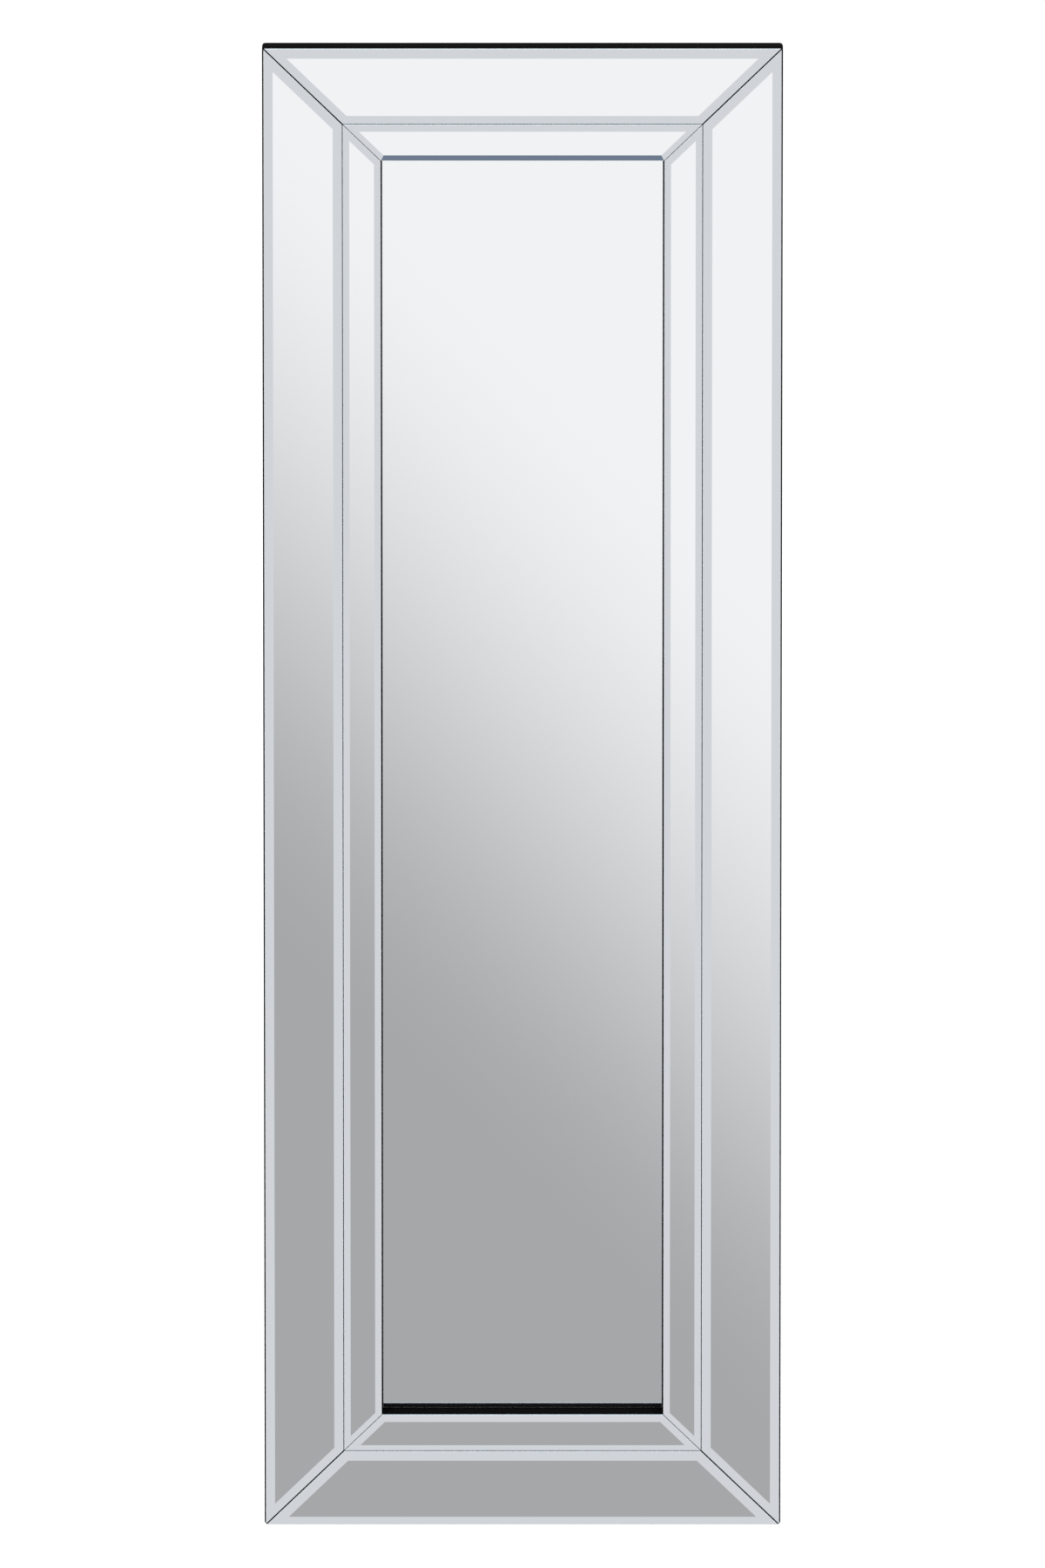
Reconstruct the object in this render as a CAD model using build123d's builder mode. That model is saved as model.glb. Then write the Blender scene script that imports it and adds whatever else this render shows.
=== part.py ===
from build123d import *
import os
from math import atan2, cos, degrees, radians, sin, sqrt, tan

# Beveled wall mirror: two rings of bevelled mirror strips on a black board frame, and a plain
# mirror in the recess inside them. Millimetres, +Z up. The mirror looks towards -Y and hangs
# on a wall whose surface is the plane Y = 0. The origin is the centre of that wall plane.

# Driving sizes: the board
mirror_width = 400.0
mirror_height = 1200.0
corner_radius = 3.0
rail_thickness = 16.0
rail_edge_radius = 0.5
rail_back_bevel = 6.0  # cut at 45 degrees off the rails' outer edge at the rear
backboard_thickness = 3.0
backboard_inset = 8.0  # the backboard stays this far inside the rails' outer edges
backboard_corner_radius = 2.0
backboard_edge_radius = 0.5

# Driving sizes: the mirror strips
board_reveal = 1.2  # the board shows this much outside the outer strips
opening_reveal = 0.5  # and this much inside the inner strips
strip_thickness = 4.0
outer_strip_width = 60.0
inner_strip_width = 29.0
ring_joint = 0.7  # gap between the outer and the inner ring of strips
outer_mitre_gap = 1.1
inner_mitre_gap = 0.5
outer_bevel_width = 7.0
inner_bevel_width = 5.0
bevel_drop = 2.0

# Driving sizes: the centre mirror
centre_mirror_thickness = 3.0
centre_mirror_clearance = 0.6

# Driving sizes: what glues the glass
tape_thickness = 1.0
tape_width = 12.0
tape_end_margin = 6.0
outer_tape_runs = 2
inner_tape_runs = 1
mastic_thickness = 1.0
mastic_radius = 15.0
mastic_columns = 2
mastic_rows = 6

# Driving sizes: fasteners of the board
screw_shank_radius = 1.75
screw_head_radius = 3.5
screw_head_angle = 90.0
screw_tip_length = 3.0
screw_front_wall = 3.0  # board left between a screw's tip and the rail's front
screw_clearance = 0.15
thread_bite = 0.1  # the thread cuts this far into the pilot hole's wall
pilot_spare_depth = 0.5
recess_span = 3.8
recess_width = 0.9
recess_depth = 1.1
stile_screw_rows = 5
stile_screw_end_inset = 100.0
v_nail_half_span = 5.0
v_nail_rise = 4.0
v_nail_sheet = 0.8
v_nail_front_wall = 3.0
v_nail_mitre_shares = (0.3, 0.7)  # of each mitre, from its outer end

# Driving sizes: the hangers
hanger_sheet = 0.9
hanger_plate_width = 13.0
hanger_plate_length = 40.0
hanger_corner_radius = 4.0
hanger_screw_offsets = (9.0, 28.0)  # from the ring's bar
ring_wire_radius = 1.2
ring_bar_clearance = 0.05
ring_half_width = 10.0
ring_corner_radius = 3.0
ring_leg_end = 5.0
ring_rest_tilt = 5.0  # degrees between the hanging ring and the board
portrait_hanger_drop = 200.0  # from the top edge to the ring's bar
landscape_hanger_inset = 320.0  # from the top and the bottom edge
landscape_hanger_edge = 25.0  # from the right edge to the ring's bar

# Driving sizes: the wall bumpers
bumper_height = 6.0
bumper_base_radius = 7.0
bumper_face_radius = 6.0
bumper_edge_radius = 1.0
bumper_inset = 18.0

# Layers, as distances in front of the wall
backboard_rear = bumper_height
rail_rear = backboard_rear + backboard_thickness
tape_rear = rail_rear + rail_thickness
strip_rear = tape_rear + tape_thickness
centre_mirror_rear = rail_rear + mastic_thickness

# Insets from the board's edge
half_width = mirror_width / 2
half_height = mirror_height / 2
outer_ring_inset = board_reveal
inner_ring_inset = outer_ring_inset + outer_strip_width + ring_joint
rail_width = inner_ring_inset + inner_strip_width + opening_reveal
centre_mirror_inset = rail_width + centre_mirror_clearance

# Sizes that follow
back_bevel_spread = rail_thickness - rail_back_bevel  # the bevel's plane is this far out at the front
screw_head_height = (screw_head_radius - screw_shank_radius) / tan(radians(screw_head_angle / 2))
screw_length = backboard_thickness + rail_thickness - screw_front_wall
pilot_depth = screw_length - backboard_thickness + pilot_spare_depth
pilot_radius = screw_shank_radius - thread_bite
screw_hole_radius = screw_shank_radius + screw_clearance
screw_sink_radius = screw_head_radius + screw_clearance
v_nail_length = rail_thickness - v_nail_front_wall
ring_bore_radius = ring_wire_radius + ring_bar_clearance
barrel_radius = ring_bore_radius + hanger_sheet
hanger_plate_thickness = 2 * hanger_sheet

# Directions
sides = ("top", "bottom", "left", "right")
drilled_from_behind = (-90, 0, 0)  # turns a location's Z axis to +Y, towards the wall
turned_sideways = (0, 90, 0)  # turns a hanger's ring from the top edge to the right edge

os.makedirs("parts", exist_ok=True)


def side_outline(side, inset, width, gap):
    """Corners of one mitred side of a rectangular ring, as X and Z seen from the front."""
    x_out = half_width - inset
    z_out = half_height - inset
    x_in = x_out - width
    z_in = z_out - width
    back = gap / sqrt(2)
    top = [(-x_out + back, z_out), (-x_in + back, z_in), (x_in - back, z_in), (x_out - back, z_out)]
    left = [(-x_out, z_out - back), (-x_out, -z_out + back), (-x_in, -z_in + back), (-x_in, z_in - back)]
    bottom = [(-x, -z) for x, z in top]
    right = [(-x, -z) for x, z in left]
    return {"top": top, "bottom": bottom, "left": left, "right": right}[side]


def behind(x, z, distance):
    """Place on a plane at this distance in front of the wall, drilled into from the wall side."""
    return Location((x, -distance, z), drilled_from_behind)


# Places of the backboard's screws: down the middle of both stiles, and one in each cross rail
rail_middle_x = half_width - rail_width / 2
rail_middle_z = half_height - rail_width / 2
stile_screw_pitch = (mirror_height - 2 * stile_screw_end_inset) / (stile_screw_rows - 1)
board_screw_spots = [(0, rail_middle_z), (0, -rail_middle_z)]
for row in range(stile_screw_rows):
    for x in (-rail_middle_x, rail_middle_x):
        board_screw_spots.append((x, row * stile_screw_pitch - half_height + stile_screw_end_inset))

# Places of the hangers: each stands on the backboard's rear face under the middle of its ring's bar
portrait_hanger_z = half_height - portrait_hanger_drop
landscape_hanger_x = half_width - landscape_hanger_edge
landscape_hanger_z = half_height - landscape_hanger_inset
hanger_feet = {
    "portrait_left": (-rail_middle_x, portrait_hanger_z, (0, 0, 0)),
    "portrait_right": (rail_middle_x, portrait_hanger_z, (0, 0, 0)),
    "landscape_upper": (landscape_hanger_x, landscape_hanger_z, turned_sideways),
    "landscape_lower": (landscape_hanger_x, -landscape_hanger_z, turned_sideways),
}
hanger_screw_spots = []
for offset_from_bar in hanger_screw_offsets:
    hanger_screw_spots.append((-rail_middle_x, portrait_hanger_z - offset_from_bar))
    hanger_screw_spots.append((rail_middle_x, portrait_hanger_z - offset_from_bar))
    hanger_screw_spots.append((landscape_hanger_x - offset_from_bar, landscape_hanger_z))
    hanger_screw_spots.append((landscape_hanger_x - offset_from_bar, -landscape_hanger_z))

# Backboard
with BuildPart() as backboard:
    with BuildSketch(Plane.XZ.offset(backboard_rear)):
        RectangleRounded(
            mirror_width - 2 * backboard_inset,
            mirror_height - 2 * backboard_inset,
            backboard_corner_radius,
        )
    extrude(amount=backboard_thickness)
    fillet(backboard.faces().sort_by(Axis.Y)[-1].edges(), backboard_edge_radius)
    with Locations([behind(x, z, backboard_rear) for x, z in board_screw_spots]):
        CounterSinkHole(screw_hole_radius, screw_sink_radius, backboard_thickness, screw_head_angle)
    with Locations([behind(x, z, backboard_rear) for x, z in hanger_screw_spots]):
        Hole(screw_hole_radius, backboard_thickness)
backboard.part.label = "backboard"
export_step(backboard.part, "parts/backboard.step")


def draw_v_nails():
    """Outlines of the V-nails in all four mitres, with each V's fold on the mitre line."""
    for x_side in (-1, 1):
        for z_side in (-1, 1):
            along_mitre = degrees(atan2(z_side, x_side)) - 90
            for share in v_nail_mitre_shares:
                x = x_side * (half_width - share * rail_width)
                z = z_side * (half_height - share * rail_width)
                with Locations((x, z)):
                    Polygon(
                        (0, 0),
                        (v_nail_half_span, v_nail_rise),
                        (v_nail_half_span, v_nail_rise + v_nail_sheet),
                        (0, v_nail_sheet),
                        (-v_nail_half_span, v_nail_rise + v_nail_sheet),
                        (-v_nail_half_span, v_nail_rise),
                        rotation=along_mitre,
                        align=None,
                    )


def is_outer_edge(edge):
    """Whether an edge runs along the board's outside, round its corners included."""
    middle = edge @ 0.5
    return abs(middle.X) > half_width - corner_radius or abs(middle.Z) > half_height - corner_radius


# Frame rails: two cross rails and two stiles, with slots for the V-nails and pilot holes
rail_names = {"top": "top_rail", "bottom": "bottom_rail", "left": "left_stile", "right": "right_stile"}
for side in sides:
    with BuildPart() as rail:
        with BuildSketch(Plane.XZ.offset(rail_rear)):
            RectangleRounded(mirror_width, mirror_height, corner_radius)
            Polygon(*side_outline(side, 0, rail_width, 0), align=None, mode=Mode.INTERSECT)
        extrude(amount=rail_thickness)
        front_edges = rail.faces().sort_by(Axis.Y)[0].edges()
        fillet(front_edges.filter_by(is_outer_edge), rail_edge_radius)
        with BuildSketch(Plane.XZ.offset(rail_rear)):
            Rectangle(mirror_width - 2 * rail_back_bevel, mirror_height - 2 * rail_back_bevel)
        with BuildSketch(Plane.XZ.offset(tape_rear)):
            Rectangle(mirror_width + 2 * back_bevel_spread, mirror_height + 2 * back_bevel_spread)
        loft(mode=Mode.INTERSECT)
        with BuildSketch(Plane.XZ.offset(rail_rear)):
            draw_v_nails()
        extrude(amount=v_nail_length, mode=Mode.SUBTRACT)
        with Locations([behind(x, z, rail_rear) for x, z in board_screw_spots + hanger_screw_spots]):
            Hole(pilot_radius, pilot_depth)
    rail.part.label = rail_names[side]
    export_step(rail.part, f"parts/{rail_names[side]}.step")

# V-nails that draw the mitres together
with BuildPart() as corner_v_nails:
    with BuildSketch(Plane.XZ.offset(rail_rear)):
        draw_v_nails()
    extrude(amount=v_nail_length)
corner_v_nails.part.label = "corner_v_nails"
export_step(corner_v_nails.part, "parts/corner_v_nails.step")

# Countersunk wood screw, with its head's top at the origin and its tip down
with BuildPart() as wood_screw:
    with BuildSketch(Plane.XZ):
        with BuildLine():
            Polyline(
                (0, 0),
                (screw_head_radius, 0),
                (screw_shank_radius, -screw_head_height),
                (screw_shank_radius, screw_tip_length - screw_length),
                (0, -screw_length),
                close=True,
            )
        make_face()
    revolve(axis=Axis.Z)
    with BuildSketch():
        Rectangle(recess_span, recess_width)
        Rectangle(recess_width, recess_span)
    extrude(amount=-recess_depth, mode=Mode.SUBTRACT)

# Screws that hold the backboard to the rails
with BuildPart() as backboard_screws:
    with Locations([behind(x, z, backboard_rear) for x, z in board_screw_spots]):
        add(wood_screw.part)
backboard_screws.part.label = "backboard_screws"
export_step(backboard_screws.part, "parts/backboard_screws.step")

# Mirror strips: mitred panes with a bevel round the whole front
strip_rings = {
    "outer": (outer_ring_inset, outer_strip_width, outer_mitre_gap, outer_bevel_width, outer_tape_runs),
    "inner": (inner_ring_inset, inner_strip_width, inner_mitre_gap, inner_bevel_width, inner_tape_runs),
}
for ring_name, (inset, width, mitre_gap, bevel_width, _) in strip_rings.items():
    for side in sides:
        with BuildPart() as strip:
            with BuildSketch(Plane.XZ.offset(strip_rear)):
                Polygon(*side_outline(side, inset, width, mitre_gap), align=None)
            extrude(amount=strip_thickness)
            front_face = strip.faces().sort_by(Axis.Y)[0]
            chamfer(front_face.edges(), bevel_width, bevel_drop, reference=front_face)
        strip.part.label = f"{ring_name}_strip_{side}"
        export_step(strip.part, f"parts/{ring_name}_strip_{side}.step")

# Foam tape under the strips, in straight runs between the mitres
for ring_name, (inset, width, _, _, tape_runs) in strip_rings.items():
    for side in sides:
        lies_across = side in ("top", "bottom")
        outward = 1 if side in ("top", "right") else -1
        half_span, half_reach = (half_width, half_height) if lies_across else (half_height, half_width)
        run_length = 2 * (half_span - inset - width - tape_end_margin)
        with BuildPart() as tape:
            with BuildSketch(Plane.XZ.offset(tape_rear)):
                for run in range(tape_runs):
                    reach = outward * (half_reach - inset - width * (run + 0.5) / tape_runs)
                    with Locations((0, reach) if lies_across else (reach, 0)):
                        Rectangle(run_length, tape_width, rotation=0 if lies_across else 90)
            extrude(amount=tape_thickness)
        tape.part.label = f"{ring_name}_tape_{side}"
        export_step(tape.part, f"parts/{ring_name}_tape_{side}.step")

# Centre mirror: a flat pane that lies on the backboard inside the rails
centre_mirror_width = mirror_width - 2 * centre_mirror_inset
centre_mirror_height = mirror_height - 2 * centre_mirror_inset
with BuildPart() as centre_mirror:
    with BuildSketch(Plane.XZ.offset(centre_mirror_rear)):
        Rectangle(centre_mirror_width, centre_mirror_height)
    extrude(amount=centre_mirror_thickness)
centre_mirror.part.label = "centre_mirror"
export_step(centre_mirror.part, "parts/centre_mirror.step")

# Mastic dabs that hold the centre mirror
with BuildPart() as centre_mastic:
    with BuildSketch(Plane.XZ.offset(rail_rear)):
        with GridLocations(
            centre_mirror_width / mastic_columns,
            centre_mirror_height / mastic_rows,
            mastic_columns,
            mastic_rows,
        ):
            Circle(mastic_radius)
    extrude(amount=mastic_thickness)
centre_mastic.part.label = "centre_mastic"
export_step(centre_mastic.part, "parts/centre_mastic.step")

# Seats of the screw heads in a hanger plate that lies on Y = 0 with its ring's bar at Z = 0
hanger_screw_seats = [behind(0, -offset, -hanger_plate_thickness) for offset in hanger_screw_offsets]

# Hanger plate: a strip folded round the ring's bar, lying on Y = 0 with the bar along X at Z = 0
with BuildPart() as hanger_plate:
    with BuildSketch(Plane.YZ):
        with Locations((barrel_radius, 0)):
            Circle(barrel_radius)
        with Locations((hanger_plate_thickness / 2, -hanger_plate_length / 2)):
            Rectangle(hanger_plate_thickness, hanger_plate_length)
        with Locations((barrel_radius, 0)):
            Circle(ring_bore_radius, mode=Mode.SUBTRACT)
    extrude(amount=hanger_plate_width / 2, both=True)
    foot_corners = hanger_plate.edges().filter_by(Axis.Y).group_by(Axis.Z)[0]
    fillet(foot_corners, hanger_corner_radius)
    with Locations(hanger_screw_seats):
        CounterSinkHole(screw_hole_radius, screw_sink_radius, hanger_plate_thickness, screw_head_angle)

# Hanger ring: a wire D whose bar turns in the plate's barrel, hanging down at its rest tilt
tilt = radians(ring_rest_tilt)
ring_plane = Plane(origin=(0, barrel_radius, 0), x_dir=(1, 0, 0), z_dir=(0, cos(tilt), sin(tilt)))
with BuildPart() as hanger_ring:
    with BuildLine(ring_plane) as half_ring:
        half_bar = Line((0, 0), (ring_half_width - ring_corner_radius, 0))
        corner = JernArc(half_bar @ 1, half_bar % 1, ring_corner_radius, 90)
        leg = Line((ring_half_width, ring_corner_radius), (ring_half_width, ring_leg_end))
        half_bow = JernArc(leg @ 1, leg % 1, ring_half_width, 90)
    with BuildSketch(Plane(origin=half_bar @ 0, z_dir=half_bar % 0)):
        Circle(ring_wire_radius)
    sweep(path=half_ring.wire())
    mirror(about=Plane.YZ)

# The four hangers, each with two screws through its plate
for hanger_name, (foot_x, foot_z, turn) in hanger_feet.items():
    place = Location((foot_x, -backboard_rear, foot_z), turn)
    with BuildPart() as placed_plate:
        with Locations(place):
            add(hanger_plate.part)
    placed_plate.part.label = f"hanger_plate_{hanger_name}"
    export_step(placed_plate.part, f"parts/hanger_plate_{hanger_name}.step")
    with BuildPart() as placed_ring:
        with Locations(place):
            add(hanger_ring.part)
    placed_ring.part.label = f"hanger_ring_{hanger_name}"
    export_step(placed_ring.part, f"parts/hanger_ring_{hanger_name}.step")
    with BuildPart() as placed_screws:
        with Locations([place * seat for seat in hanger_screw_seats]):
            add(wood_screw.part)
    placed_screws.part.label = f"hanger_screws_{hanger_name}"
    export_step(placed_screws.part, f"parts/hanger_screws_{hanger_name}.step")

# Rubber bumpers at the corners of the backboard, whose flat faces rest on the wall
for z_name, z_side in (("top", 1), ("bottom", -1)):
    for x_name, x_side in (("left", -1), ("right", 1)):
        bumper_x = x_side * (half_width - bumper_inset)
        bumper_z = z_side * (half_height - bumper_inset)
        foot = Plane(behind(bumper_x, bumper_z, backboard_rear))
        with BuildPart() as bumper:
            with BuildSketch(foot):
                Circle(bumper_base_radius)
            with BuildSketch(foot.offset(bumper_height)):
                Circle(bumper_face_radius)
            loft()
            fillet(bumper.faces().sort_by(Axis.Y)[-1].edges(), bumper_edge_radius)
        bumper.part.label = f"wall_bumper_{z_name}_{x_name}"
        export_step(bumper.part, f"parts/wall_bumper_{z_name}_{x_name}.step")
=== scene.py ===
from math import atan2, cos, radians, sin

import bpy
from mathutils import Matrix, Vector


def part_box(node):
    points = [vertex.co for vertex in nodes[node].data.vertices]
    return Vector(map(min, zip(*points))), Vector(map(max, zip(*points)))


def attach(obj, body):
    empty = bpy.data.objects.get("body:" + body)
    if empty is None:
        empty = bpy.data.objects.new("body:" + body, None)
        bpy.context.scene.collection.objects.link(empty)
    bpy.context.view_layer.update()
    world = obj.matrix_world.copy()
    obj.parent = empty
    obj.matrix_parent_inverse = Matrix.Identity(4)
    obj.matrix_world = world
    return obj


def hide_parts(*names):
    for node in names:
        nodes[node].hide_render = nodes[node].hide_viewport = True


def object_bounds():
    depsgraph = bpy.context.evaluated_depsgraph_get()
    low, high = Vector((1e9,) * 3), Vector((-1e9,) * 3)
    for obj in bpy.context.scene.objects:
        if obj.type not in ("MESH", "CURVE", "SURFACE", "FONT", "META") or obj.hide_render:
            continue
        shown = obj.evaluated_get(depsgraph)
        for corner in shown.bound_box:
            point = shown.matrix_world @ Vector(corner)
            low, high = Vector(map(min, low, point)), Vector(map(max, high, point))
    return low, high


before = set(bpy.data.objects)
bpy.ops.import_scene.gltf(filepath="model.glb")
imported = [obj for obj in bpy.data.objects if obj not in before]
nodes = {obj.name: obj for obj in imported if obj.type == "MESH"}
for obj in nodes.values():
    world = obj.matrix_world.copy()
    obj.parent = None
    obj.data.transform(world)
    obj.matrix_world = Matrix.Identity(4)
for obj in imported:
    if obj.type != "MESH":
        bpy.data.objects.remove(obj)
cad_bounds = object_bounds()

# Beveled wall mirror. Metres, +Z up, the glass looks towards -Y and the wall is the plane Y = 0.

# The photograph's frame and the board's place in it, in pixels
PHOTO_WIDTH, PHOTO_HEIGHT = 1200, 1800
BOARD_LEFT, BOARD_RIGHT = 302.5, 897.5
BOARD_TOP, BOARD_BOTTOM = 49.6, 1749.5

# Camera: far away, so that the board's sides stay nearly parallel. The other views stand back 1.6
# times as far and see 63 m, so at more than 38 m here the object would drop out of them.
VIEW_ELEVATION = radians(18.2)
VIEW_DISTANCE = 36.0
FAR_CLIP = 100.0

# Glass
ARRIS = 0.0002
SAME_PLACE = 1e-5

# Screws: depth of the cross recess, down which the plating is darkened as painted shade
RECESS_DEPTH = 0.0011

# Stage
FLOOR_HEIGHT = -1.5
FLOOR_SPAN = 24.0
CARD_DISTANCE = 6.0
CARD_WIDTH, CARD_HEIGHT = 1.3, 3.0
RAMP_DARK_END = (166, 167, 169)  # display values of the flat glass at the ramp's two ends
RAMP_PALE_END = (241, 242, 244)
RAMP_MIDDLE = 0.02  # along the ramp, on the mirror
RAMP_REACH = 0.336  # from the ramp's middle to each end, on the mirror
AMBIENT = 0.55
FLOOR_TONE = 0.82
FLOOR_GLOW = 0.5  # added for the camera alone, so that the floor shows white

# Colour sockets of a mix node
MIX_FIRST, MIX_SECOND, MIX_RESULT = 6, 7, 2


def srgb(red, green, blue):
    """Linear colour of three 8-bit display values."""
    shares = [value / 255 for value in (red, green, blue)]
    return tuple(s / 12.92 if s <= 0.04045 else ((s + 0.055) / 1.055) ** 2.4 for s in shares)


def grey(level):
    """Neutral colour of this level."""
    return (level, level, level)


class Finish:
    """A material whose nodes follow the piece's own coordinates."""

    def __init__(self, name, colour, roughness, metallic=0.0, specular=0.5):
        self.material = bpy.data.materials.new(name)
        self.material.use_nodes = True
        self.tree = self.material.node_tree
        self.shader = self.tree.nodes["Principled BSDF"]
        self.shader.inputs["Base Color"].default_value = (*colour, 1)
        self.shader.inputs["Roughness"].default_value = roughness
        self.shader.inputs["Metallic"].default_value = metallic
        self.shader.inputs["Specular IOR Level"].default_value = specular
        self.place = self.tree.nodes.new("ShaderNodeTexCoord").outputs["Object"]

    def link(self, source, target):
        self.tree.links.new(source, target)

    def noise(self, features_per_metre, detail=4.0, stretch=(1, 1, 1)):
        """Smooth noise from 0 to 1, drawn out along an axis where its stretch is small."""
        mapping = self.tree.nodes.new("ShaderNodeMapping")
        mapping.inputs["Scale"].default_value = stretch
        self.link(self.place, mapping.inputs["Vector"])
        texture = self.tree.nodes.new("ShaderNodeTexNoise")
        texture.inputs["Scale"].default_value = features_per_metre
        texture.inputs["Detail"].default_value = detail
        self.link(mapping.outputs["Vector"], texture.inputs["Vector"])
        return texture.outputs["Fac"]

    def cells(self, cells_per_metre, output="Distance"):
        """Cell pattern: distance from each cell's middle, or the cell's own colour."""
        texture = self.tree.nodes.new("ShaderNodeTexVoronoi")
        texture.inputs["Scale"].default_value = cells_per_metre
        self.link(self.place, texture.inputs["Vector"])
        return texture.outputs[output]

    def along(self, axis):
        """The place along X, Y or Z."""
        split = self.tree.nodes.new("ShaderNodeSeparateXYZ")
        self.link(self.place, split.inputs["Vector"])
        return split.outputs[axis]

    def maths(self, operation, first, second=None):
        """Result of one sum on sockets or numbers."""
        sum_node = self.tree.nodes.new("ShaderNodeMath")
        sum_node.operation = operation
        for value, socket in zip((first, second), sum_node.inputs):
            if isinstance(value, bpy.types.NodeSocket):
                self.link(value, socket)
            elif value is not None:
                socket.default_value = value
        return sum_node.outputs["Value"]

    def spread(self, value, low, high, to_low=0.0, to_high=1.0):
        """Turns values from low to high into values from to_low to to_high, smoothly."""
        remap = self.tree.nodes.new("ShaderNodeMapRange")
        remap.interpolation_type = "SMOOTHSTEP"
        self.link(value, remap.inputs["Value"])
        limits = {"From Min": low, "From Max": high, "To Min": to_low, "To Max": to_high}
        for name, number in limits.items():
            remap.inputs[name].default_value = number
        return remap.outputs["Result"]

    def blend(self, share, first, second):
        """Mixes two colours, each a socket or a colour."""
        mix = self.tree.nodes.new("ShaderNodeMix")
        mix.data_type = "RGBA"
        self.link(share, mix.inputs["Factor"])
        for value, socket in ((first, mix.inputs[MIX_FIRST]), (second, mix.inputs[MIX_SECOND])):
            if isinstance(value, bpy.types.NodeSocket):
                self.link(value, socket)
            else:
                socket.default_value = (*value, 1)
        return mix.outputs[MIX_RESULT]

    def colour(self, socket):
        self.link(socket, self.shader.inputs["Base Color"])

    def roughness(self, socket):
        self.link(socket, self.shader.inputs["Roughness"])

    def relief(self, height, depth):
        """Bumps of this depth in metres."""
        bump = self.tree.nodes.new("ShaderNodeBump")
        bump.inputs["Distance"].default_value = depth
        self.link(height, bump.inputs["Height"])
        self.link(bump.outputs["Normal"], self.shader.inputs["Normal"])


# Finishes of the glass
FLAT_TINT = (0.930, 0.940, 0.945)
BEVEL_TINT = (0.860, 0.885, 0.905)
# Painted reflection: dark blue silver for the bevel that faces the recess, standing in for the darker
# reflection seen there
PAINTED_DARK_REFLECTION_TINT = (0.213, 0.266, 0.352)


def silvering(name, tint):
    """Silvered glass: a clean mirror whose polish varies very slightly."""
    finish = Finish(name, tint, 0.02, metallic=1.0)
    finish.roughness(finish.spread(finish.noise(14, detail=6), 0.35, 0.7, 0.012, 0.03))
    return finish.material


def ground_glass():
    """Edge of a pane, ground to a pale blue mat."""
    finish = Finish("ground_glass_edge", (0.60, 0.70, 0.78), 0.4)
    finish.colour(finish.blend(finish.noise(350), (0.54, 0.64, 0.72), (0.68, 0.78, 0.86)))
    finish.roughness(finish.spread(finish.noise(900), 0.3, 0.7, 0.3, 0.5))
    finish.relief(finish.noise(2500), 0.00006)
    return finish.material


def polished_arris():
    """Narrow chamfer along a pane's edges, which catches the light."""
    finish = Finish("glass_arris", (0.82, 0.86, 0.88), 0.22)
    finish.colour(finish.blend(finish.noise(260), (0.74, 0.79, 0.82), (0.9, 0.93, 0.94)))
    finish.relief(finish.noise(1800), 0.00003)
    return finish.material


def pane_back():
    """Protective paint behind the silver. The mitred ends are given the same near-black colour."""
    finish = Finish("pane_back_paint", (0.008, 0.009, 0.010), 0.7, specular=0.1)
    finish.colour(finish.blend(finish.noise(120), (0.006, 0.007, 0.008), (0.012, 0.013, 0.015)))
    finish.relief(finish.noise(700), 0.00008)
    return finish.material


def board_paint():
    """Dull black paint on MDF: fine stipple, soft patches and a little pale dust."""
    finish = Finish("black_board_paint", grey(0.004), 0.8, specular=0.01)
    patches = finish.blend(finish.noise(9), (0.003, 0.003, 0.0035), (0.006, 0.006, 0.0065))
    dust = finish.spread(finish.noise(1400, detail=2), 0.70, 0.80, 0.0, 0.06)
    finish.colour(finish.blend(dust, patches, (0.16, 0.155, 0.15)))
    finish.roughness(finish.spread(finish.noise(60), 0.3, 0.7, 0.72, 0.88))
    finish.relief(finish.noise(900, detail=5), 0.00006)
    return finish.material


def backboard_paint(edge_x, edge_z):
    """The same paint on the backboard, more worn: scuffs along its edges and faint rub marks."""
    finish = Finish("black_backboard_paint", grey(0.014), 0.55, specular=0.3)
    patches = finish.blend(finish.noise(7), (0.011, 0.011, 0.012), (0.022, 0.022, 0.023))
    across = finish.maths("DIVIDE", finish.maths("ABSOLUTE", finish.along("X")), edge_x)
    upward = finish.maths("DIVIDE", finish.maths("ABSOLUTE", finish.along("Z")), edge_z)
    rim = finish.maths("MAXIMUM", finish.spread(across, 0.992, 1.0), finish.spread(upward, 0.9975, 1.0))
    worn = finish.maths("MULTIPLY", rim, finish.spread(finish.noise(45), 0.5, 0.62))
    dust = finish.spread(finish.noise(1100, detail=2), 0.68, 0.78, 0.0, 0.25)
    rubs = finish.spread(finish.noise(20, detail=8, stretch=(1, 1, 0.12)), 0.60, 0.72, 0.0, 0.06)
    marked = finish.blend(finish.maths("MAXIMUM", dust, rubs), patches, (0.15, 0.145, 0.14))
    finish.colour(finish.blend(worn, marked, (0.20, 0.15, 0.10)))
    finish.roughness(finish.spread(finish.noise(35), 0.3, 0.7, 0.42, 0.68))
    finish.relief(finish.noise(700, detail=6), 0.00015)
    return finish.material


def zinc(name, bright, dark, roughness):
    """Zinc plate: small crystals, a clouded shine and fine pitting."""
    finish = Finish(name, bright, roughness, metallic=1.0)
    finish.colour(finish.blend(finish.noise(240, detail=5), dark, bright))
    crystals = finish.cells(420, output="Color")
    grain = finish.maths("MULTIPLY", crystals, 0.10)
    clouds = finish.spread(finish.noise(160), 0.3, 0.7, roughness, roughness + 0.12)
    finish.roughness(finish.maths("ADD", grain, clouds))
    finish.relief(finish.noise(1500), 0.00004)
    return finish.material


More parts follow.
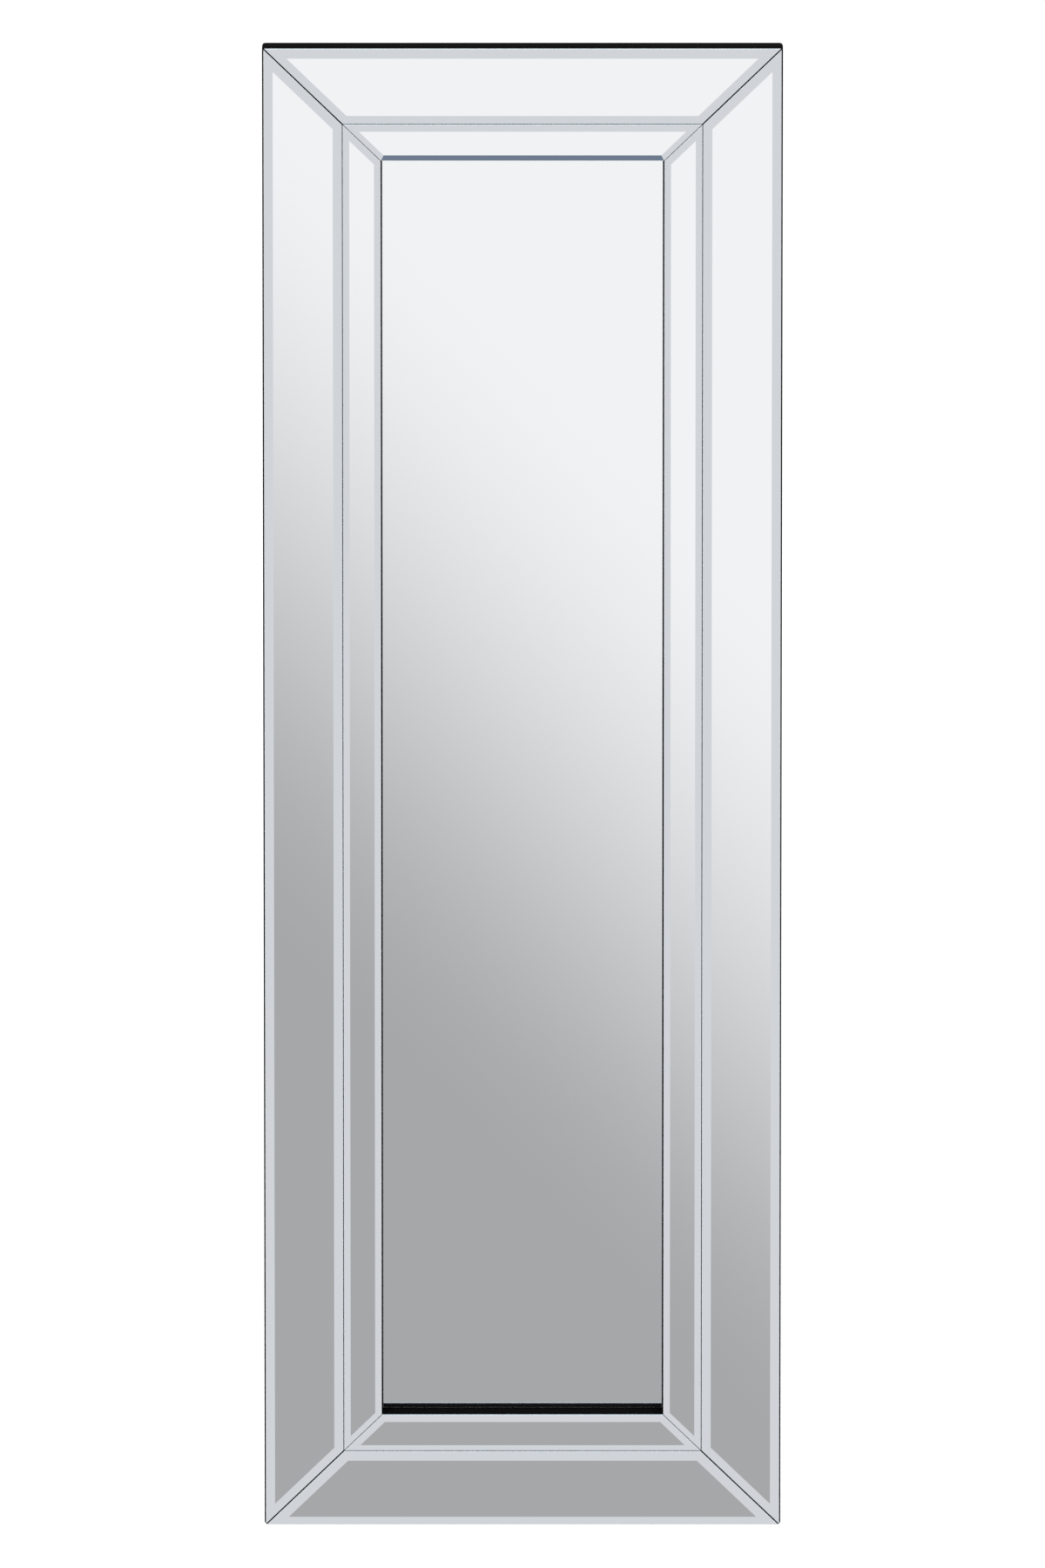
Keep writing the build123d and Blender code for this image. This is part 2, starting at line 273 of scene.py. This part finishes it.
def screw_plate(name, head_y):
    """Yellow-passivated zinc, with painted shade darkening it towards the bottom of the cross recess
    below the head's top.
    """
    finish = Finish(name, (0.74, 0.68, 0.50), 0.3, metallic=1.0)
    plating = finish.blend(finish.noise(500), (0.60, 0.52, 0.34), (0.80, 0.76, 0.62))
    # Painted shade: the plating darkens to near black down the cross recess
    painted_recess_shade = finish.spread(finish.along("Y"), head_y - RECESS_DEPTH, head_y - SAME_PLACE, 1.0, 0.0)
    finish.colour(finish.blend(painted_recess_shade, plating, (0.035, 0.032, 0.028)))
    finish.roughness(finish.spread(finish.noise(700), 0.3, 0.7, 0.24, 0.42))
    finish.relief(finish.noise(2200), 0.00003)
    return finish.material


def bumper_rubber():
    """Moulded black rubber with a dusty bloom."""
    finish = Finish("bumper_rubber", grey(0.03), 0.7, specular=0.4)
    finish.colour(finish.blend(finish.spread(finish.noise(300), 0.45, 0.7), grey(0.022), grey(0.06)))
    finish.roughness(finish.spread(finish.noise(500), 0.3, 0.7, 0.6, 0.82))
    finish.relief(finish.noise(1600), 0.00006)
    return finish.material


def foam():
    """Closed-cell foam of the mounting tape."""
    finish = Finish("tape_foam", grey(0.03), 0.9, specular=0.2)
    finish.colour(finish.blend(finish.cells(2500), grey(0.02), grey(0.07)))
    finish.relief(finish.cells(2500), 0.0001)
    return finish.material


def mastic():
    """Cured mastic."""
    finish = Finish("cured_mastic", (0.68, 0.66, 0.60), 0.6)
    finish.colour(finish.blend(finish.noise(80), (0.62, 0.60, 0.54), (0.74, 0.72, 0.66)))
    finish.relief(finish.noise(150), 0.0002)
    return finish.material


def dress(node_name, material):
    """Gives a CAD node its finish."""
    mesh = nodes[node_name].data
    if not mesh.materials:
        mesh.materials.append(material)
    for index in range(len(mesh.materials)):
        mesh.materials[index] = material


# Panes
FLAT, BEVEL, PAINTED_DARK_BEVEL, EDGE, END, CHAMFER, BACK = range(7)


def corners_at(node_name, depth):
    """Corners of a pane's outline at one depth, as X and Z, in turn round its middle."""
    found = {
        (round(v.co.x, 6), round(v.co.z, 6))
        for v in nodes[node_name].data.vertices
        if abs(v.co.y - depth) < SAME_PLACE
    }
    middle_x = sum(x for x, z in found) / len(found)
    middle_z = sum(z for x, z in found) / len(found)
    return sorted(found, key=lambda point: atan2(point[1] - middle_z, point[0] - middle_x))


def inset(outline, distance):
    """Moves every side of a convex outline inwards by a distance."""
    moved = []
    for index, corner in enumerate(outline):
        point = Vector(corner)
        before = (point - Vector(outline[index - 1])).normalized()
        after = (Vector(outline[(index + 1) % len(outline)]) - point).normalized()
        first, second = Vector((-before.y, before.x)), Vector((-after.y, after.x))
        moved.append(tuple(point + (first + second) * (distance / (1 + first.dot(second)))))
    return moved


def build_pane(name, node_name, bevelled, side_finishes, finishes):
    """Makes a pane from rings of corners, from its painted back to its flat front."""
    low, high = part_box(node_name)
    rear, front = high.y, low.y
    outline = corners_at(node_name, rear)
    face = corners_at(node_name, front)
    levels = [(inset(outline, ARRIS), rear), (outline, rear - ARRIS)]
    if bevelled:
        depths = sorted({round(v.co.y, 5) for v in nodes[node_name].data.vertices})
        land = depths[1]
        slope = (land - front) / (Vector(face[0]) - Vector(outline[0])).length
        shift = (Vector(inset(outline, ARRIS)[0]) - Vector(outline[0])).length
        levels.append((outline, land + ARRIS))
        levels.append((inset(outline, ARRIS), land - slope * shift))
        levels.append((face, front))
    else:
        levels.append((outline, front + ARRIS))
        levels.append((inset(outline, ARRIS), front))
    count = len(outline)
    points = [(x, y, z) for ring, y in levels for x, z in ring]
    faces, kinds = [tuple(range(count))], [BACK]
    last = len(levels) - 1
    for level in range(last):
        for side in range(count):
            following = (side + 1) % count
            base = level * count
            faces.append((base + following, base + side, base + count + side, base + count + following))
            kinds.append(side_finishes(outline, side, level))
    faces.append(tuple(last * count + side for side in reversed(range(count))))
    kinds.append(FLAT)
    mesh = bpy.data.meshes.new(name)
    mesh.from_pydata(points, [], faces)
    for finish in finishes:
        mesh.materials.append(finish)
    mesh.polygons.foreach_set("material_index", kinds)
    mesh.update()
    mesh.validate()
    pane = bpy.data.objects.new(name, mesh)
    bpy.context.scene.collection.objects.link(pane)
    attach(pane, "root")
    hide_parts(node_name)
    return pane


def strip_side(over_recess):
    """Chooses the finish of each facet of a bevelled strip. Its lower bevel may face the recess, and
    then gets a darkened silver colour as a painted reflection.
    """

    def choose(outline, side, level):
        start, end = outline[side], outline[(side + 1) % len(outline)]
        lies_across = abs(start[1] - end[1]) < SAME_PLACE
        is_mitre = not lies_across and abs(start[0] - end[0]) > SAME_PLACE
        is_lowest = lies_across and start[1] == min(z for x, z in outline)
        bevel = PAINTED_DARK_BEVEL if over_recess and is_lowest else BEVEL
        return (BACK, END if is_mitre else EDGE, CHAMFER, bevel)[level]

    return choose


def plain_side(outline, side, level):
    """Finish of each facet of the flat centre pane's edge."""
    return (BACK, EDGE, CHAMFER)[level]


paint_behind = pane_back()
glass_finishes = [
    silvering("silvered_face", FLAT_TINT),
    silvering("silvered_bevel", BEVEL_TINT),
    silvering("silvered_bevel_painted_dark_reflection", PAINTED_DARK_REFLECTION_TINT),
    ground_glass(),
    paint_behind,
    polished_arris(),
    paint_behind,
]
for ring in ("outer", "inner"):
    for place in ("top", "bottom", "left", "right"):
        # Only the inner top strip's lower bevel gets the painted dark reflection
        chooser = strip_side(over_recess=(ring, place) == ("inner", "top"))
        build_pane(f"{ring}_pane_{place}", f"{ring}_strip_{place}", True, chooser, glass_finishes)
build_pane("centre_pane", "centre_mirror", False, plain_side, glass_finishes)

# Board and hardware keep their CAD shapes
board_low, board_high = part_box("backboard")
rail_finish = board_paint()
for rail in ("top_rail", "bottom_rail", "left_stile", "right_stile"):
    dress(rail, rail_finish)
dress("backboard", backboard_paint(board_high.x, board_high.z))
dress("centre_mastic", mastic())
dress("corner_v_nails", zinc("nail_strip", (0.5, 0.5, 0.5), (0.3, 0.3, 0.3), 0.4))
plate_finish = zinc("hanger_zinc", (0.70, 0.71, 0.73), (0.50, 0.51, 0.53), 0.26)
wire_finish = zinc("ring_zinc", (0.80, 0.80, 0.80), (0.62, 0.62, 0.63), 0.16)
board_screw_finish = screw_plate("board_screw_plating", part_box("backboard_screws")[1].y)
hanger_screw_finish = screw_plate("hanger_screw_plating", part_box("hanger_screws_portrait_left")[1].y)
rubber_finish = bumper_rubber()
foam_finish = foam()
for node_name in nodes:
    if node_name.startswith("hanger_plate_"):
        dress(node_name, plate_finish)
    elif node_name.startswith("hanger_ring_"):
        dress(node_name, wire_finish)
    elif node_name.startswith("hanger_screws_"):
        dress(node_name, hanger_screw_finish)
    elif node_name == "backboard_screws":
        dress(node_name, board_screw_finish)
    elif node_name.startswith("wall_bumper_"):
        dress(node_name, rubber_finish)
    elif "_tape_" in node_name:
        dress(node_name, foam_finish)


def stage_plane(name, width, height, material):
    """Flat rectangle of the stage, round its own origin."""
    x, y = width / 2, height / 2
    mesh = bpy.data.meshes.new(name)
    mesh.from_pydata([(-x, -y, 0), (x, -y, 0), (x, y, 0), (-x, y, 0)], [], [(0, 1, 2, 3)])
    mesh.materials.append(material)
    plane = bpy.data.objects.new(name, mesh)
    bpy.context.scene.collection.objects.link(plane)
    return plane


def floor_material():
    """Pale floor that shows white to the camera, keeps shadows, and is clear from below."""
    material = bpy.data.materials.new("pale_floor")
    material.use_nodes = True
    tree = material.node_tree
    tree.nodes.clear()
    diffuse = tree.nodes.new("ShaderNodeBsdfDiffuse")
    diffuse.inputs["Color"].default_value = (*grey(FLOOR_TONE), 1)
    glow = tree.nodes.new("ShaderNodeEmission")
    path = tree.nodes.new("ShaderNodeLightPath")
    lift = tree.nodes.new("ShaderNodeMath")
    lift.operation = "MULTIPLY"
    lift.inputs[1].default_value = FLOOR_GLOW
    tree.links.new(path.outputs["Is Camera Ray"], lift.inputs[0])
    tree.links.new(lift.outputs["Value"], glow.inputs["Strength"])
    both = tree.nodes.new("ShaderNodeAddShader")
    tree.links.new(diffuse.outputs["BSDF"], both.inputs[0])
    tree.links.new(glow.outputs["Emission"], both.inputs[1])
    clear = tree.nodes.new("ShaderNodeBsdfTransparent")
    sides = tree.nodes.new("ShaderNodeNewGeometry")
    choice = tree.nodes.new("ShaderNodeMixShader")
    tree.links.new(sides.outputs["Backfacing"], choice.inputs["Fac"])
    tree.links.new(both.outputs["Shader"], choice.inputs[1])
    tree.links.new(clear.outputs["BSDF"], choice.inputs[2])
    output = tree.nodes.new("ShaderNodeOutputMaterial")
    tree.links.new(choice.outputs["Shader"], output.inputs["Surface"])
    return material


def card_material():
    """Studio card with a 45 degree ramp from grey at the lower left to pale at the upper right."""
    material = bpy.data.materials.new("reflected_card")
    material.use_nodes = True
    tree = material.node_tree
    tree.nodes.clear()
    place = tree.nodes.new("ShaderNodeTexCoord")
    split = tree.nodes.new("ShaderNodeSeparateXYZ")
    tree.links.new(place.outputs["Object"], split.inputs["Vector"])
    diagonal = tree.nodes.new("ShaderNodeMath")
    diagonal.operation = "ADD"
    tree.links.new(split.outputs["X"], diagonal.inputs[0])
    tree.links.new(split.outputs["Y"], diagonal.inputs[1])
    ramp = tree.nodes.new("ShaderNodeMapRange")
    ramp.interpolation_type = "SMOOTHSTEP"
    enlargement = (VIEW_DISTANCE + CARD_DISTANCE) / VIEW_DISTANCE
    ramp.inputs["From Min"].default_value = (RAMP_MIDDLE - RAMP_REACH) * enlargement
    ramp.inputs["From Max"].default_value = (RAMP_MIDDLE + RAMP_REACH) * enlargement
    tree.links.new(diagonal.outputs["Value"], ramp.inputs["Value"])
    tones = tree.nodes.new("ShaderNodeMix")
    tones.data_type = "RGBA"
    for socket, shown in ((MIX_FIRST, RAMP_DARK_END), (MIX_SECOND, RAMP_PALE_END)):
        tone = [part / tint for part, tint in zip(srgb(*shown), FLAT_TINT)]
        tones.inputs[socket].default_value = (*tone, 1)
    tree.links.new(ramp.outputs["Result"], tones.inputs["Factor"])
    glow = tree.nodes.new("ShaderNodeEmission")
    tree.links.new(tones.outputs[MIX_RESULT], glow.inputs["Color"])
    output = tree.nodes.new("ShaderNodeOutputMaterial")
    tree.links.new(glow.outputs["Emission"], output.inputs["Surface"])
    return material


def studio_world():
    """White behind the object. What the glass reflects is pale in front and darker behind."""
    world = bpy.data.worlds.new("studio")
    world.use_nodes = True
    bpy.context.scene.world = world
    tree = world.node_tree
    background = tree.nodes["Background"]
    direction = tree.nodes.new("ShaderNodeTexCoord")
    split = tree.nodes.new("ShaderNodeSeparateXYZ")
    tree.links.new(direction.outputs["Generated"], split.inputs["Vector"])
    sideways = tree.nodes.new("ShaderNodeMath")
    sideways.operation = "ABSOLUTE"
    tree.links.new(split.outputs["X"], sideways.inputs[0])

    def step(source, low, high):
        remap = tree.nodes.new("ShaderNodeMapRange")
        remap.interpolation_type = "SMOOTHSTEP"
        remap.inputs["From Min"].default_value = low
        remap.inputs["From Max"].default_value = high
        tree.links.new(source, remap.inputs["Value"])
        return remap.outputs["Result"]

    def mix(share, first, second):
        blend = tree.nodes.new("ShaderNodeMix")
        blend.data_type = "RGBA"
        tree.links.new(share, blend.inputs["Factor"])
        for value, socket in ((first, blend.inputs[MIX_FIRST]), (second, blend.inputs[MIX_SECOND])):
            if isinstance(value, bpy.types.NodeSocket):
                tree.links.new(value, socket)
            else:
                socket.default_value = (*value, 1)
        return blend.outputs[MIX_RESULT]

    pale, dim, bright = (0.734, 0.743, 0.767), (0.42, 0.43, 0.45), (0.95, 0.95, 0.96)
    front = mix(step(sideways.outputs["Value"], 0.7, 1.0), pale, dim)
    front = mix(step(split.outputs["Z"], 0.6, 0.95), front, bright)
    behind = mix(step(split.outputs["Z"], -0.35, -0.05), (0.40, 0.40, 0.41), grey(0.03))
    behind = mix(step(split.outputs["Z"], 0.40, 0.75), behind, bright)
    studio = mix(step(split.outputs["Y"], 0.0, 0.35), front, behind)
    path = tree.nodes.new("ShaderNodeLightPath")
    seen = mix(path.outputs["Is Glossy Ray"], grey(AMBIENT), studio)
    tree.links.new(mix(path.outputs["Is Camera Ray"], seen, grey(1.0)), background.inputs["Color"])


def soft_lamp(name, place, size, power, shines):
    """Square soft box aimed at the mirror's middle."""
    light = bpy.data.lights.new(name, "AREA")
    light.size = size
    light.energy = power
    lamp = bpy.data.objects.new(name, light)
    bpy.context.scene.collection.objects.link(lamp)
    lamp.location = place
    lamp.rotation_euler = (-Vector(place)).to_track_quat("-Z", "Y").to_euler()
    lamp.visible_camera = False
    lamp.visible_glossy = shines


def aim_camera():
    """Places the camera at the photograph's viewing angle, with the board as it is framed there."""
    pixels_per_metre = (BOARD_RIGHT - BOARD_LEFT) / (cad_bounds[1].x - cad_bounds[0].x)
    upward = Vector((0, sin(VIEW_ELEVATION), cos(VIEW_ELEVATION)))
    towards_camera = Vector((0, -cos(VIEW_ELEVATION), sin(VIEW_ELEVATION)))

    def seen_heights(node_name):
        """Heights at which a node's corners appear, nearer ones further from the middle."""
        for vertex in nodes[node_name].data.vertices:
            distance = VIEW_DISTANCE - towards_camera.dot(vertex.co)
            yield upward.dot(vertex.co) * VIEW_DISTANCE / distance

    top, bottom = max(seen_heights("top_rail")), min(seen_heights("bottom_rail"))
    off_centre = ((BOARD_TOP + BOARD_BOTTOM) / 2 - PHOTO_HEIGHT / 2) / pixels_per_metre
    target = upward * ((top + bottom) / 2 + off_centre)
    data = bpy.data.cameras.new("camera")
    data.lens = data.sensor_width * VIEW_DISTANCE * pixels_per_metre / max(PHOTO_WIDTH, PHOTO_HEIGHT)
    data.clip_end = FAR_CLIP
    camera = bpy.data.objects.new("camera", data)
    bpy.context.scene.collection.objects.link(camera)
    camera.location = target + towards_camera * VIEW_DISTANCE
    camera.rotation_euler = (radians(90) - VIEW_ELEVATION, 0, 0)
    bpy.context.scene.camera = camera


# Stage, light and camera
bpy.context.scene.view_settings.view_transform = "Standard"
floor = stage_plane("floor", FLOOR_SPAN, FLOOR_SPAN, floor_material())
floor.location.z = FLOOR_HEIGHT
floor.visible_glossy = False
card = stage_plane("card", CARD_WIDTH, CARD_HEIGHT, card_material())
card.location = (0, -CARD_DISTANCE * cos(VIEW_ELEVATION), -CARD_DISTANCE * sin(VIEW_ELEVATION))
card.rotation_euler = (radians(90) + VIEW_ELEVATION, 0, 0)
card.visible_camera = False
card.visible_diffuse = False
card.visible_shadow = False
studio_world()
soft_lamp("key", (-2.6, -3.6, 3.6), 2.5, 150, False)
soft_lamp("fill", (3.2, -3.2, 1.6), 3.0, 70, False)
soft_lamp("back_key", (2.4, 3.8, 3.2), 2.5, 150, True)
soft_lamp("back_fill", (-3.2, 3.2, 1.2), 2.0, 60, True)
aim_camera()
